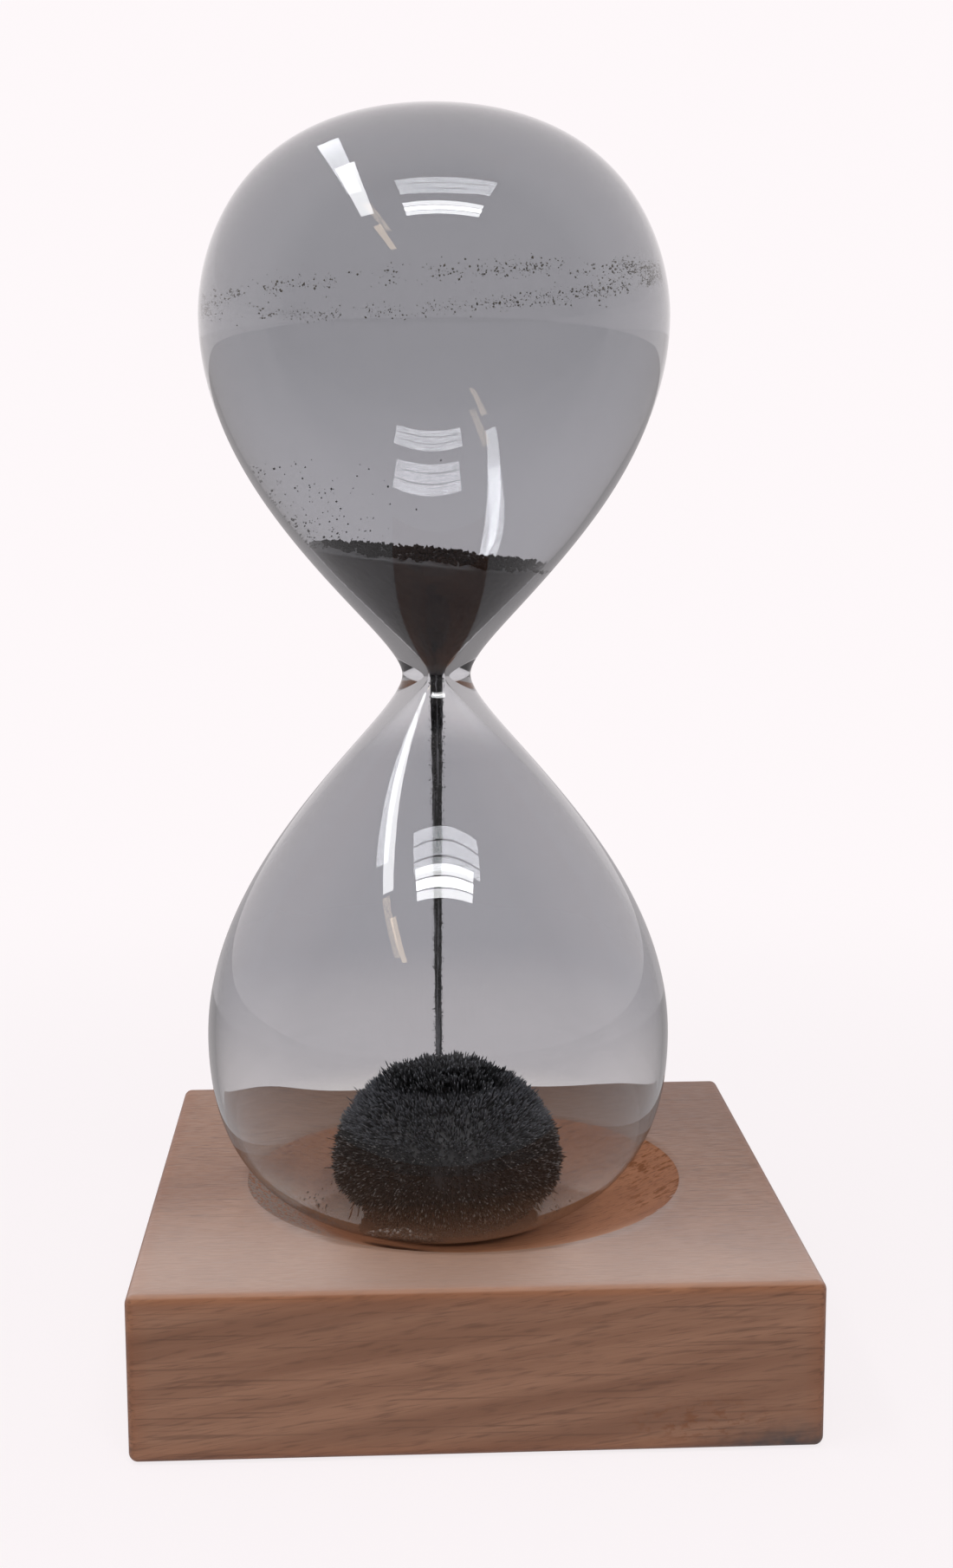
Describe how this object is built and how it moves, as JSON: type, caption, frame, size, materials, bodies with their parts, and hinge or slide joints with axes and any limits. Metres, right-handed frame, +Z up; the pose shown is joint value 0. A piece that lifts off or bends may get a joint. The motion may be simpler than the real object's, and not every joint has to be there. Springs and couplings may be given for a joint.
{
  "type": "magnetic hourglass",
  "caption": "Blown glass hourglass of black iron powder that stands loose in the dish of a square beech block, where a hidden magnet draws the fallen powder into a spiky mound.",
  "frame": {"origin": "centre of the block's resting face, on the surface that it stands on", "axes": "+Z up along the glass, +X to the right and +Y away from the viewer, both along the block's edges"},
  "size_m": [0.08, 0.08, 0.1556],
  "materials": {
    "beech": "satin",
    "clear_adhesive": "satin",
    "nickel_plate": "satin",
    "plug_beech": "matte",
    "grey_felt": "matte",
    "clear_glass": "polished",
    "iron_powder": "matte"
  },
  "bodies": {
    "base": {"base_block": "beech", "magnet_adhesive": "clear_adhesive", "magnet": "nickel_plate", "pocket_plug": "plug_beech", "felt_pad": "grey_felt"},
    "glass": {"glass_vessel": "clear_glass", "fill_seal": "clear_glass", "upper_powder": "iron_powder", "powder_stream": "iron_powder", "powder_mound": "iron_powder", "powder_clump": "iron_powder"}
  },
  "joints": [
    {"name": "glass_lift", "type": "slide", "parent": "base", "child": "glass", "axis": [0, 0, 1], "range_m": [0, 0.1]}
  ]
}
